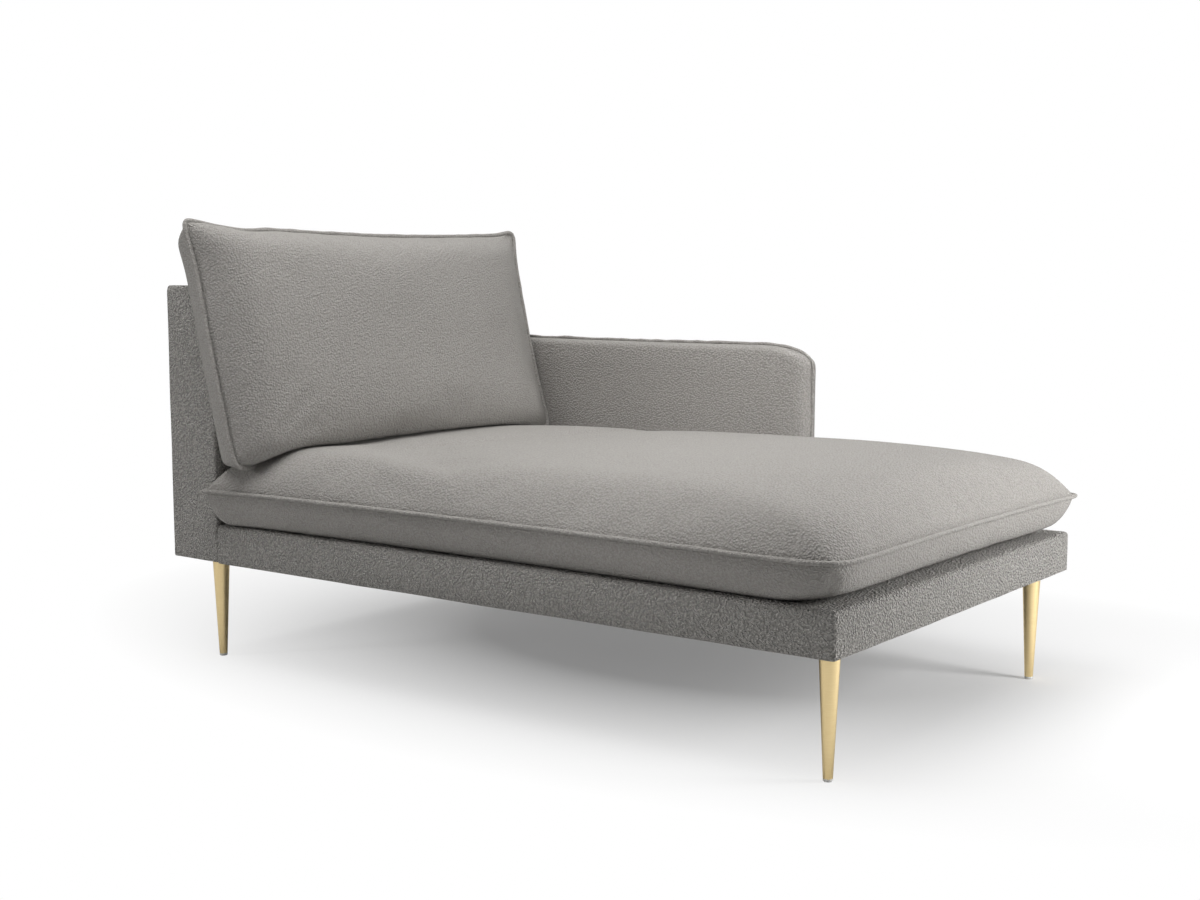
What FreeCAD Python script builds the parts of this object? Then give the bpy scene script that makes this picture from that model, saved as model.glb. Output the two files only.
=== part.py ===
import FreeCAD, Part
import math
import os

# Chaise sofa: a long padded base on tapered legs, an upholstered back panel across its head end, one padded arm
# and two loose welted cushions. Millimetres. +X is the arm side, -Y the foot end and +Z up; the origin is on the
# floor, under the middle of the whole sofa.

# Main sizes
BASE_WIDTH = 940.0
BASE_LENGTH = 1383.0
BASE_BOTTOM = 210.0
BASE_HEIGHT = 75.0
BACK_DEPTH = 134.0
BACK_TOP = 758.0
ARM_THICKNESS = 110.0
ARM_LENGTH = 938.0
ARM_TOP = 635.0

# Upholstery layers and fits
COVER = 2.0
WELT = 5.0
WADDING = 20.0
FIT = 0.3
THREAD_FIT = 0.1
BOARD = 3.0
DUST_COVER = 1.0

# Legs
LEG_TOP_RADIUS = 17.5
LEG_FOOT_RADIUS = 8.0
LEG_SIDE_INSET = 69.0
LEG_FOOT_INSET = 45.0
LEG_BACK_INSET = 64.0
GLIDE_HEIGHT = 5.0
GLIDE_PLUG = 14.0
GLIDE_PLUG_RADIUS = 5.0
GLIDE_ROUND = 1.5

# Base frame
RAIL = 22.0
HEAD_RAIL = 28.0
SIDE_RAIL_HEIGHT = 50.0
EDGE_PAD = 8.0
BASE_ROUND = 14.0
BELT_WIDTH = 70.0
BELT_THICKNESS = 2.0
BELT_LANDING = 16.0
BELTS_ACROSS = 8
BELTS_ALONG = 5
STRETCHERS = 2
STRETCHER_HEIGHT = 30.0
BLOCK_WIDTH = 96.0
BLOCK_LENGTH = 78.0
BLOCK_HEIGHT = 38.0
BLOCK_CHAMFER = 40.0
HEM_MARGIN = 8.0

# Back panel frame
BACK_ROUND = 16.0
BACK_FRONT_PAD = 20.0
BACK_REAR_PAD = 10.0
BACK_EDGE_PAD = 10.0
BACK_RAIL_HEIGHT = 70.0

# Arm
ARM_CORNER = 75.0
ARM_REAR_CORNER = 30.0
ARM_FOOT_CORNER = 14.0
ARM_INNER_DEPTH = 25.0
ARM_INNER_RUN = 30.0
ARM_OUTER_RUN = 130.0
ARM_FRAME = 50.0
ARM_FRONT_PAD = 84.0
ARM_REAR_PAD = 44.0
ARM_TOP_PAD = 46.0
ARM_RAIL_RISE = 28.0
ARM_RAIL_HEIGHT = 50.0
ARM_POST = 40.0
ARM_SIDE_BOW = 2.0
ARM_REAR_EASE = 0.4
ARM_FOOT_EASE = 0.3
ARM_TOP_EASE = 0.35

# Studs that hold the legs and bolts that join base, back and arm
STUD_GRIP = 20.0
BOLT_RADIUS = 4.0
BOLT_HEAD_RADIUS = 7.5
BOLT_HEAD = 5.3
BOLT_HOLE_ROOM = 0.8
WASHER_RADIUS = 12.0
WASHER = 2.0
INSERT_RADIUS = 6.0
INSERT_LENGTH = 18.0
BOLT_END_ROOM = 4.0
BACK_BOLTS = 3
ARM_BOLTS = 4
BOLT_RISE = 36.0
BOLT_BLOCK_GAP = 34.0
ARM_BOLT_INSET = 110.0

# Seat cushion
SEAT_SIDE_OVERHANG = 28.0
SEAT_FOOT_OVERHANG = 24.0
SEAT_ARM_GAP = 3.0
SEAT_BACK_GAP = 2.0
SEAT_BELLY = 73.0
SEAT_BELLY_RUN = 42.0
SEAT_CROWN = 103.0
SEAT_CROWN_RUN = 310.0
SEAT_CORNER = 70.0
SEAT_EAR = 35.0
SEAT_BOW = 14.0
SEAT_CORE_INSET = 75.0

# Back cushion
BACK_CUSHION_OVERHANG = 40.0
BACK_CUSHION_HEIGHT = 488.0
BACK_CUSHION_LEAN = 14.0
BACK_CUSHION_DROP = 50.0
BACK_CUSHION_STANDOFF = 16.0
BACK_CUSHION_FRONT = 105.0
BACK_CUSHION_REAR = 60.0
BACK_CUSHION_RUN = 165.0
BACK_CUSHION_CORNER = 34.0
BACK_CUSHION_BOW = 10.0
BACK_CUSHION_ARCH = 36.0
BACK_CUSHION_ARCH_RUN = 70.0
BACK_CUSHION_EAR = 40.0
BACK_CUSHION_BOTTOM_EASE = 0.35
BACK_CUSHION_CORE_INSET = 90.0

# Lofted crowns: the sections that rise from the seam to the flat of the crown, the angle that the last one
# reaches, and how full the sides are
SECTIONS = 5
LAST_ANGLE = math.radians(75.0)
FULL_CROWN = 0.77
ROUND_CROWN = 1.0
CORNER_GROWTH = 0.2
LEAST_ARCH = 0.5
LARGEST_CORNER = 0.4

# How near an edge has to lie to a direction or a plane to be picked for rounding
SAME_WAY = 0.999
SAME_PLANE = 1.0

# Planes that the pieces share
LEFT = (BACK_CUSHION_OVERHANG - BASE_WIDTH - ARM_THICKNESS) / 2
RIGHT = LEFT + BASE_WIDTH
FOOT = (SEAT_FOOT_OVERHANG - BASE_LENGTH - BACK_DEPTH) / 2
PANEL = FOOT + BASE_LENGTH
REAR = PANEL + BACK_DEPTH
BASE_TOP = BASE_BOTTOM + BASE_HEIGHT
TIMBER_BOTTOM = BASE_BOTTOM + COVER
SIDE_RAIL_TOP = TIMBER_BOTTOM + SIDE_RAIL_HEIGHT
END_RAIL_TOP = SIDE_RAIL_TOP + BELT_THICKNESS
BELTS_TOP = END_RAIL_TOP + BELT_THICKNESS
RAIL_LEFT = LEFT + COVER + EDGE_PAD
RAIL_RIGHT = RIGHT - COVER - EDGE_PAD
RAIL_FOOT = FOOT + COVER + EDGE_PAD
RAIL_HEAD = PANEL - COVER
BOLT_LEVEL = BASE_BOTTOM + BOLT_RISE

X = FreeCAD.Vector(1, 0, 0)
Y = FreeCAD.Vector(0, 1, 0)
Z = FreeCAD.Vector(0, 0, 1)

os.makedirs("parts", exist_ok=True)


def save(node, *shapes):
    """Write one node as its separate solids."""
    solids = [solid for shape in shapes for solid in shape.Solids]
    for solid in solids:
        if not solid.isValid():
            raise ValueError(node + " is not a valid solid")
    shape = solids[0] if len(solids) == 1 else Part.makeCompound(solids)
    shape.exportStep("parts/" + node + ".step")
    box = shape.BoundBox
    print(node, len(solids), [round(v, 1) for v in (box.XMin, box.XMax, box.YMin, box.YMax, box.ZMin, box.ZMax)])


def block(x0, x1, y0, y1, z0, z1):
    return Part.makeBox(x1 - x0, y1 - y0, z1 - z0, FreeCAD.Vector(x0, y0, z0))


def rod(radius, length, start, axis):
    return Part.makeCylinder(radius, length, start, axis)


def turned(profile, x, y):
    """Revolve a closed (radius, height) profile about the vertical through x, y."""
    points = [FreeCAD.Vector(x + radius, y, height) for radius, height in profile]
    face = Part.Face(Part.makePolygon(points + points[:1]))
    return face.revolve(FreeCAD.Vector(x, y, 0), Z, 360)


def rounded(shape, radius, wanted):
    return shape.makeFillet(radius, [edge for edge in shape.Edges if wanted(edge)])


def is_along(edge, axis):
    return abs(edge.tangentAt(edge.FirstParameter).dot(axis)) > SAME_WAY


def spread(first, last, count):
    """Evenly spaced places between two end places, both used."""
    return [first + (last - first) * k / (count - 1) for k in range(count)]


def shares(first, last, count):
    """Middles of equal shares of a span."""
    return [first + (last - first) * (k + 0.5) / count for k in range(count)]


def bow(a, b, inward):
    """Arc from a to b whose middle stands off the straight line by the vector inward."""
    if inward.Length == 0:
        return Part.makeLine(a, b)
    return Part.Arc(a, (a + b) / 2 + inward, b).toShape()


def shoulder(low, high, level_end):
    """Arc between a drooping corner and the level stretch, level at one of its ends."""
    run = high.x - low.x
    rise = high.y - low.y
    radius = (run * run + rise * rise) / (2 * rise)
    half = math.asin(abs(run) / radius) / 2
    middle = FreeCAD.Vector(
        high.x - math.copysign(radius * math.sin(half), run),
        high.y - radius * (1 - math.cos(half)),
        low.z,
    )
    ends = (low, middle, high) if level_end == "last" else (high, middle, low)
    return Part.Arc(*ends).toShape()


def seam_outline(sides, corners, bows, height, arch=0.0):
    """Closed outline at one height: corner arcs, sides drawn in by their bows, and a bottom that may arch up."""
    x0, x1, y0, y1 = sides
    r00, r10, r11, r01 = corners
    bow_x0, bow_x1, bow_y0, bow_y1 = bows

    def at(x, y):
        return FreeCAD.Vector(x, y, height)

    def corner(x, y, radius, start, way_x, way_y):
        middle = at(x + way_x * radius * (1 - math.sqrt(0.5)), y + way_y * radius * (1 - math.sqrt(0.5)))
        ends = [at(x, y + way_y * radius), at(x + way_x * radius, y)]
        if start == "x":
            ends.reverse()
        return Part.Arc(ends[0], middle, ends[1]).toShape()

    if arch:
        low0, low1 = at(x0 + r00, y0), at(x1 - r10, y0)
        high0 = at(x0 + r00 + BACK_CUSHION_ARCH_RUN, y0 + arch)
        high1 = at(x1 - r10 - BACK_CUSHION_ARCH_RUN, y0 + arch)
        bottom = [shoulder(low0, high0, "last"), Part.makeLine(high0, high1), shoulder(low1, high1, "first")]
    else:
        bottom = [bow(at(x0 + r00, y0), at(x1 - r10, y0), Y * bow_y0)]
    edges = bottom + [
        corner(x1, y0, r10, "x", -1, 1),
        bow(at(x1, y0 + r10), at(x1, y1 - r11), X * -bow_x1),
        corner(x1, y1, r11, "y", -1, -1),
        bow(at(x1 - r11, y1), at(x0 + r01, y1), Y * -bow_y1),
        corner(x0, y1, r01, "x", 1, -1),
        bow(at(x0, y1 - r01), at(x0, y0 + r00), X * bow_x0),
        corner(x0, y0, r00, "y", 1, 1),
    ]
    return Part.Wire(edges)


def crowned_half(sides, corners, bows, depth, run, fullness, shrink, eases=(1, 1, 1, 1), arch=0.0):
    """Half of a stuffed form, lofted from its seam at height 0 up or down to the flat of its crown.

    depth is signed. shrink is how far inside the fabric's outer face the form lies. eases scale how far the crown
    draws in from each side.
    """
    way = math.copysign(1, depth)
    sides = [side + shrink * inward for side, inward in zip(sides, (1, -1, 1, -1))]
    wires = []
    for k in range(SECTIONS + 1):
        angle = LAST_ANGLE * (k / SECTIONS)
        share = (1 - math.cos(angle) ** fullness) / (1 - math.cos(LAST_ANGLE) ** fullness)
        inset = run * share
        height = (depth - way * shrink) * (math.sin(angle) / math.sin(LAST_ANGLE)) ** fullness
        x0, x1, y0, y1 = [
            side + inset * ease * inward for side, ease, inward in zip(sides, eases, (1, -1, 1, -1))
        ]
        largest = LARGEST_CORNER * min(x1 - x0, y1 - y0)
        radii = [min(radius - shrink + CORNER_GROWTH * inset, largest) for radius in corners]
        draws = [draw * (1 - share) for draw in bows]
        droop = 0.0
        if arch:
            droop = max(arch * (1 - inset / BACK_CUSHION_EAR), LEAST_ARCH)
            y0 += arch - droop
        wires.append(seam_outline((x0, x1, y0, y1), radii, draws, height, droop))
    return Part.makeLoft(wires, True, True)


def crown_height(inset, depth, run, fullness):
    """How high a crown of this depth stands at a place that far in from its seam."""
    angle = math.acos((1 - inset / run * (1 - math.cos(LAST_ANGLE) ** fullness)) ** (1 / fullness))
    return depth * (math.sin(angle) / math.sin(LAST_ANGLE)) ** fullness


def core_block(sides, inset, bottom, top):
    """Foam block with square edges, set in from all four sides of a cushion's seam."""
    x0, x1, y0, y1 = sides
    return block(x0 + inset, x1 - inset, y0 + inset, y1 - inset, bottom, top)


def welt_ring(sides, corners, bows, arch=0.0):
    """Flat cord round a seam, just outside the two panels that it joins."""
    rings = []
    for outward in (WELT, FIT):
        grown = [side - outward * inward for side, inward in zip(sides, (1, -1, 1, -1))]
        rings.append(Part.Face(seam_outline(grown, [radius + outward for radius in corners], bows, -WELT / 2, arch)))
    return rings[0].cut(rings[1]).extrude(Z * WELT)


# Fixings: each leg stud and frame bolt starts at a seat, runs through the cloth and ends in an insert in the
# next timber
LEG_PLACES = {
    "leg_foot_left": (LEFT + LEG_SIDE_INSET, FOOT + LEG_FOOT_INSET),
    "leg_foot_right": (RIGHT - LEG_SIDE_INSET, FOOT + LEG_FOOT_INSET),
    "leg_back_left": (LEFT + LEG_SIDE_INSET, REAR - LEG_BACK_INSET),
    "leg_back_right": (RIGHT - LEG_SIDE_INSET, REAR - LEG_BACK_INSET),
}
ARM_FRONT = REAR - ARM_LENGTH
ARM_BOLT_SEAT = RAIL_RIGHT - RAIL
ARM_LAST_BOLT = RAIL_HEAD - HEAD_RAIL - BLOCK_LENGTH - BOLT_BLOCK_GAP
ARM_BOLT_PLACES = spread(ARM_FRONT + ARM_BOLT_INSET, ARM_LAST_BOLT, ARM_BOLTS)
BACK_BOLT_SEAT = RAIL_HEAD - HEAD_RAIL
BACK_BOLT_INSET = RAIL + BLOCK_WIDTH + BOLT_BLOCK_GAP
BACK_BOLT_PLACES = spread(RAIL_LEFT + BACK_BOLT_INSET, RAIL_RIGHT - BACK_BOLT_INSET, BACK_BOLTS)

# Each fixing's seat, its direction, and how far from the seat the insert starts
STUDS = [(FreeCAD.Vector(x, y, BASE_BOTTOM), Z, COVER) for x, y in LEG_PLACES.values()]
BACK_REACH = PANEL + COVER - BACK_BOLT_SEAT
BACK_FIXINGS = [(FreeCAD.Vector(x, BACK_BOLT_SEAT, BOLT_LEVEL), Y, BACK_REACH) for x in BACK_BOLT_PLACES]
ARM_REACH = RIGHT + COVER - ARM_BOLT_SEAT
ARM_FIXINGS = [(FreeCAD.Vector(ARM_BOLT_SEAT, y, BOLT_LEVEL), X, ARM_REACH) for y in ARM_BOLT_PLACES]
BOLTS = BACK_FIXINGS + ARM_FIXINGS


def stud(seat, way, reach):
    return rod(BOLT_RADIUS, STUD_GRIP + reach + INSERT_LENGTH, seat - way * STUD_GRIP, way)


def bolt(seat, way, reach):
    start = seat - way * WASHER
    shank = rod(BOLT_RADIUS, WASHER + reach + INSERT_LENGTH, start, way)
    turn = FreeCAD.Rotation(Z, way)
    spokes = [math.radians(60 * k) for k in range(6)]
    flat = [FreeCAD.Vector(BOLT_HEAD_RADIUS * math.cos(a), BOLT_HEAD_RADIUS * math.sin(a), 0) for a in spokes]
    corners = [start + turn.multVec(point) for point in flat]
    head = Part.Face(Part.makePolygon(corners + corners[:1])).extrude(way * -BOLT_HEAD)
    return head.fuse(shank).removeSplitter()


def washer(seat, way):
    ring = rod(WASHER_RADIUS, WASHER, seat - way * WASHER, way)
    return ring.cut(rod(BOLT_RADIUS + FIT, WASHER, seat - way * WASHER, way))


def insert(seat, way, reach):
    sleeve = rod(INSERT_RADIUS, INSERT_LENGTH, seat + way * reach, way)
    return sleeve.cut(rod(BOLT_RADIUS + THREAD_FIT, INSERT_LENGTH, seat + way * reach, way))


def fixing_holes():
    tools = []
    for seat, way, reach in STUDS + BOLTS:
        depth = reach + INSERT_LENGTH + BOLT_END_ROOM
        tools.append(rod(BOLT_RADIUS + BOLT_HOLE_ROOM, depth, seat, way))
        tools.append(rod(INSERT_RADIUS + THREAD_FIT, INSERT_LENGTH, seat + way * reach, way))
    return tools


HOLES = fixing_holes()
save("leg_studs", *[stud(*fixing) for fixing in STUDS])
save("back_bolts", *[bolt(*fixing) for fixing in BACK_FIXINGS])
save("arm_bolts", *[bolt(*fixing) for fixing in ARM_FIXINGS])
save("bolt_washers", *[washer(seat, way) for seat, way, reach in BOLTS])
save("insert_nuts", *[insert(*fixing) for fixing in STUDS + BOLTS])


# Legs: tapered metal, each with a threaded hole for its stud above and a plastic glide plugged into its foot
def leg(x, y):
    thread = BOLT_RADIUS + THREAD_FIT
    return turned(
        [
            (0, GLIDE_HEIGHT + GLIDE_PLUG),
            (GLIDE_PLUG_RADIUS + THREAD_FIT, GLIDE_HEIGHT + GLIDE_PLUG),
            (GLIDE_PLUG_RADIUS + THREAD_FIT, GLIDE_HEIGHT),
            (LEG_FOOT_RADIUS, GLIDE_HEIGHT),
            (LEG_TOP_RADIUS, BASE_BOTTOM),
            (thread, BASE_BOTTOM),
            (thread, BASE_BOTTOM - STUD_GRIP),
            (0, BASE_BOTTOM - STUD_GRIP),
        ],
        x,
        y,
    )


def glide(x, y):
    return turned(
        [
            (0, 0),
            (LEG_FOOT_RADIUS - GLIDE_ROUND, 0),
            (LEG_FOOT_RADIUS, GLIDE_ROUND),
            (LEG_FOOT_RADIUS, GLIDE_HEIGHT),
            (GLIDE_PLUG_RADIUS, GLIDE_HEIGHT),
            (GLIDE_PLUG_RADIUS, GLIDE_HEIGHT + GLIDE_PLUG),
            (0, GLIDE_HEIGHT + GLIDE_PLUG),
        ],
        x,
        y,
    )


for leg_name, leg_place in LEG_PLACES.items():
    save(leg_name, leg(*leg_place))
save("leg_glides", *[glide(*place) for place in LEG_PLACES.values()])


# Base: a timber frame with elastic belts across it, padded on top and round three sides, in one fabric cover
def base_form(shrink):
    """Outer form of the base, or the form that lies shrink inside it."""
    foot, rear = FOOT + shrink, PANEL - shrink
    top = BASE_TOP - shrink

    def is_foot_corner(edge):
        return is_along(edge, Z) and edge.CenterOfMass.y < foot + SAME_PLANE

    def is_top_edge(edge):
        return edge.BoundBox.ZMin > top - SAME_PLANE and edge.CenterOfMass.y < rear - SAME_PLANE

    form = block(LEFT + shrink, RIGHT - shrink, foot, rear, BASE_BOTTOM + shrink, top)
    form = rounded(form, BASE_ROUND - shrink, is_foot_corner)
    return rounded(form, BASE_ROUND - shrink, is_top_edge)


def side_rail(x0):
    return block(x0, x0 + RAIL, RAIL_FOOT, RAIL_HEAD, TIMBER_BOTTOM, SIDE_RAIL_TOP)


def end_rail(y0, y1):
    return block(RAIL_LEFT + RAIL, RAIL_RIGHT - RAIL, y0, y1, TIMBER_BOTTOM, END_RAIL_TOP)


def corner_block(x, y, way_x, way_y):
    plan = [
        (0, 0),
        (BLOCK_WIDTH, 0),
        (BLOCK_WIDTH, BLOCK_LENGTH - BLOCK_CHAMFER),
        (BLOCK_WIDTH - BLOCK_CHAMFER, BLOCK_LENGTH),
        (0, BLOCK_LENGTH),
    ]
    points = [FreeCAD.Vector(x + way_x * i, y + way_y * j, TIMBER_BOTTOM) for i, j in plan]
    return Part.Face(Part.makePolygon(points + points[:1])).extrude(Z * BLOCK_HEIGHT)


def base_timber():
    inner_left, inner_right = RAIL_LEFT + RAIL, RAIL_RIGHT - RAIL
    inner_foot, inner_head = RAIL_FOOT + RAIL, RAIL_HEAD - HEAD_RAIL
    save("base_side_rail_left", side_rail(RAIL_LEFT).cut(HOLES))
    save("base_side_rail_right", side_rail(RAIL_RIGHT - RAIL).cut(HOLES))
    save("base_foot_rail", end_rail(RAIL_FOOT, inner_foot).cut(HOLES))
    save("base_head_rail", end_rail(inner_head, RAIL_HEAD).cut(HOLES))
    corners = [
        corner_block(inner_left, inner_foot, 1, 1),
        corner_block(inner_right, inner_foot, -1, 1),
        corner_block(inner_left, inner_head, 1, -1),
        corner_block(inner_right, inner_head, -1, -1),
    ]
    save("base_corner_blocks", *[piece.cut(HOLES) for piece in corners])
    top = TIMBER_BOTTOM + STRETCHER_HEIGHT
    places = spread(inner_foot, inner_head, STRETCHERS + 2)[1:-1]
    bars = [block(inner_left, inner_right, y - RAIL / 2, y + RAIL / 2, TIMBER_BOTTOM, top) for y in places]
    save("base_stretchers", *bars)


def base_belts():
    inner_foot, inner_head = RAIL_FOOT + RAIL, RAIL_HEAD - HEAD_RAIL
    x0, x1 = RAIL_LEFT + RAIL - BELT_LANDING, RAIL_RIGHT - RAIL + BELT_LANDING
    y0, y1 = inner_foot - BELT_LANDING, inner_head + BELT_LANDING
    half = BELT_WIDTH / 2
    cross = shares(inner_foot, inner_head, BELTS_ACROSS)
    save("base_cross_belts", *[block(x0, x1, y - half, y + half, SIDE_RAIL_TOP, END_RAIL_TOP) for y in cross])
    along = shares(RAIL_LEFT + RAIL, RAIL_RIGHT - RAIL, BELTS_ALONG)
    save("base_long_belts", *[block(x - half, x + half, y0, y1, END_RAIL_TOP, BELTS_TOP) for x in along])


def base_padding():
    inside = base_form(COVER)
    topper = inside.common(block(LEFT, RIGHT, FOOT, PANEL, BELTS_TOP, BASE_TOP))
    save("base_topper", topper)
    strip = inside.common(block(LEFT, RIGHT, FOOT, PANEL, BASE_BOTTOM, BELTS_TOP))
    frame = block(RAIL_LEFT, RAIL_RIGHT, RAIL_FOOT, PANEL, BASE_BOTTOM, BELTS_TOP)
    save("base_edge_pad", strip.cut([frame] + HOLES))


def base_covering():
    hem_side = LEG_SIDE_INSET + LEG_TOP_RADIUS + HEM_MARGIN
    hem_end = LEG_FOOT_INSET + LEG_TOP_RADIUS + HEM_MARGIN
    x0, x1, y0, y1 = LEFT + hem_side, RIGHT - hem_side, FOOT + hem_end, PANEL - hem_end
    opening = block(x0, x1, y0, y1, BASE_BOTTOM, TIMBER_BOTTOM)
    cover = base_form(0).cut([base_form(COVER), opening] + HOLES)
    save("base_cover", cover)
    low = TIMBER_BOTTOM - DUST_COVER
    save("base_dust_cover", block(x0 + FIT, x1 - FIT, y0 + FIT, y1 - FIT, low, TIMBER_BOTTOM))


base_timber()
base_belts()
base_padding()
base_covering()

# Back panel: a deep timber frame between two thin boards, padded all round, in its own fabric cover
BACK_RAIL_TOP = TIMBER_BOTTOM + BACK_RAIL_HEIGHT
FRAME_TOP = BACK_TOP - COVER - BACK_EDGE_PAD
FRAME_LEFT = LEFT + COVER + BACK_EDGE_PAD
FRAME_RIGHT = RIGHT - COVER - BACK_EDGE_PAD
BOARD_FRONT = PANEL + COVER + BACK_FRONT_PAD
BOARD_REAR = REAR - COVER - BACK_REAR_PAD


def back_form(shrink):
    top = BACK_TOP - shrink
    form = block(LEFT + shrink, RIGHT - shrink, PANEL + shrink, REAR - shrink, BASE_BOTTOM + shrink, top)
    form = rounded(form, BACK_ROUND - shrink, lambda edge: is_along(edge, Z))
    return rounded(form, BACK_ROUND - shrink, lambda edge: edge.BoundBox.ZMin > top - SAME_PLANE)


def back_timber():
    y0, y1 = BOARD_FRONT + BOARD, BOARD_REAR - BOARD
    inner_left, inner_right = FRAME_LEFT + RAIL, FRAME_RIGHT - RAIL
    sole = block(LEFT + BACK_ROUND, RIGHT - BACK_ROUND, PANEL + COVER, BOARD_REAR, TIMBER_BOTTOM, BACK_RAIL_TOP)
    save("back_bottom_rail", sole.cut(HOLES))
    save("back_stile_left", block(FRAME_LEFT, inner_left, y0, y1, BACK_RAIL_TOP, FRAME_TOP))
    save("back_stile_right", block(inner_right, FRAME_RIGHT, y0, y1, BACK_RAIL_TOP, FRAME_TOP))
    save("back_top_rail", block(inner_left, inner_right, y0, y1, FRAME_TOP - RAIL, FRAME_TOP))
    middle = (BACK_RAIL_TOP + FRAME_TOP) / 2
    save("back_middle_rail", block(inner_left, inner_right, y0, y1, middle - RAIL / 2, middle + RAIL / 2))
    save("back_front_board", block(FRAME_LEFT, FRAME_RIGHT, BOARD_FRONT, y0, BACK_RAIL_TOP, FRAME_TOP))
    save("back_rear_board", block(FRAME_LEFT, FRAME_RIGHT, y1, BOARD_REAR, BACK_RAIL_TOP, FRAME_TOP))


def back_padding():
    inside = back_form(COVER)
    save("back_front_foam", inside.common(block(LEFT, RIGHT, PANEL, BOARD_FRONT, BACK_RAIL_TOP, BACK_TOP)))
    save("back_rear_foam", inside.common(block(LEFT, RIGHT, BOARD_REAR, REAR, BASE_BOTTOM, BACK_TOP)))
    edge = inside.common(block(LEFT, RIGHT, BOARD_FRONT, BOARD_REAR, BASE_BOTTOM, BACK_TOP))
    save("back_edge_foam", edge.cut(block(FRAME_LEFT, FRAME_RIGHT, BOARD_FRONT, BOARD_REAR, BASE_BOTTOM, FRAME_TOP)))


back_timber()
back_padding()
save("back_cover", back_form(0).cut([back_form(COVER)] + HOLES))

# Arm: a slab with two crowned faces that meet in a welted seam along its top, front, foot and rear
ARM_SEAM = RIGHT + ARM_INNER_DEPTH
ARM_MIDDLE = RIGHT + ARM_THICKNESS / 2
ARM_SIDES = (ARM_FRONT + WELT, REAR - WELT, BASE_BOTTOM + WELT, ARM_TOP - WELT)
ARM_CORNERS = (ARM_FOOT_CORNER, ARM_FOOT_CORNER, ARM_REAR_CORNER, ARM_CORNER)
ARM_BOWS = (ARM_SIDE_BOW, ARM_SIDE_BOW, ARM_SIDE_BOW, ARM_SIDE_BOW)
ARM_EASES = (1, ARM_REAR_EASE, ARM_FOOT_EASE, ARM_TOP_EASE)
ARM_TURN = FreeCAD.Placement(FreeCAD.Vector(ARM_SEAM, 0, 0), FreeCAD.Rotation(FreeCAD.Vector(1, 1, 1), 120))


def stood_up(shape):
    """Turn a form drawn flat (length, height) to stand along the sofa's side."""
    shape.Placement = ARM_TURN
    return shape


def arm_half(way, shrink):
    depth, run = ARM_THICKNESS - ARM_INNER_DEPTH, ARM_OUTER_RUN
    if way < 0:
        depth, run = -ARM_INNER_DEPTH, ARM_INNER_RUN
    form = crowned_half(ARM_SIDES, ARM_CORNERS, ARM_BOWS, depth, run, ROUND_CROWN, shrink, ARM_EASES)
    return stood_up(form)


def arm():
    y0, y1 = ARM_FRONT + ARM_FRONT_PAD, REAR - ARM_REAR_PAD
    z0, z1 = BASE_BOTTOM + ARM_RAIL_RISE, ARM_TOP - ARM_TOP_PAD
    rail_top = z0 + ARM_RAIL_HEIGHT
    x0, x1 = ARM_MIDDLE - ARM_FRAME / 2, ARM_MIDDLE + ARM_FRAME / 2
    rail = block(RIGHT + COVER + FIT, x1, y0, y1, z0, rail_top)
    save("arm_bottom_rail", rail.cut(HOLES))
    save("arm_top_rail", block(x0, x1, y0, y1, z1 - RAIL, z1))
    save("arm_front_post", block(x0, x1, y0, y0 + ARM_POST, rail_top, z1 - RAIL))
    save("arm_rear_post", block(x0, x1, y1 - ARM_POST, y1, rail_top, z1 - RAIL))
    save("arm_inner_board", block(x0 - BOARD, x0, y0, y1, rail_top, z1))
    save("arm_outer_board", block(x1, x1 + BOARD, y0, y1, z0, z1))
    core = block(x0 - BOARD, x1 + BOARD, y0, y1, z0, z1)
    save("arm_inner_foam", arm_half(-1, COVER + FIT).cut([core, rail]))
    save("arm_outer_foam", arm_half(1, COVER + FIT).cut([core, rail]))
    save("arm_cover_inner", arm_half(-1, 0).cut([arm_half(-1, COVER)] + HOLES))
    save("arm_cover_outer", arm_half(1, 0).cut(arm_half(1, COVER)))
    save("arm_welt", stood_up(welt_ring(ARM_SIDES, ARM_CORNERS, ARM_BOWS)))


arm()

# Seat cushion: two fabric panels welted together round a wadded foam core, crowned above and flat where it rests
SEAT_SEAM = BASE_TOP + FIT + SEAT_BELLY
SEAT_SIDES = (
    LEFT - SEAT_SIDE_OVERHANG + WELT,
    RIGHT - SEAT_ARM_GAP - WELT,
    FOOT - SEAT_FOOT_OVERHANG + WELT,
    PANEL - SEAT_BACK_GAP - WELT,
)
SEAT_CORNERS = (SEAT_CORNER, SEAT_EAR, SEAT_EAR, SEAT_EAR)
SEAT_BOWS = (SEAT_BOW, SEAT_BOW / 2, SEAT_BOW, SEAT_BOW / 2)


def seat_half(way, shrink):
    depth, run, fullness = SEAT_CROWN, SEAT_CROWN_RUN, FULL_CROWN
    if way < 0:
        depth, run, fullness = -SEAT_BELLY, SEAT_BELLY_RUN, ROUND_CROWN
    half = crowned_half(SEAT_SIDES, SEAT_CORNERS, SEAT_BOWS, depth, run, fullness, shrink)
    return half.translated(Z * SEAT_SEAM)


def seat_form(shrink):
    return seat_half(1, shrink).fuse(seat_half(-1, shrink))


def seat_core():
    """Foam block that lies on the lower panel and stops short of the crown by the wadding."""
    crown = crown_height(SEAT_CORE_INSET, SEAT_CROWN, SEAT_CROWN_RUN, FULL_CROWN)
    bottom = BASE_TOP + FIT + COVER + FIT
    return core_block(SEAT_SIDES, SEAT_CORE_INSET, bottom, SEAT_SEAM + crown - COVER - WADDING)


save("seat_core", seat_core())
save("seat_wadding", seat_form(COVER + FIT).cut(seat_core()))
save("seat_cover_top", seat_half(1, 0).cut(seat_half(1, COVER)))
save("seat_cover_bottom", seat_half(-1, 0).cut(seat_half(-1, COVER)))
save("seat_welt", welt_ring(SEAT_SIDES, SEAT_CORNERS, SEAT_BOWS).translated(Z * SEAT_SEAM))

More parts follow.
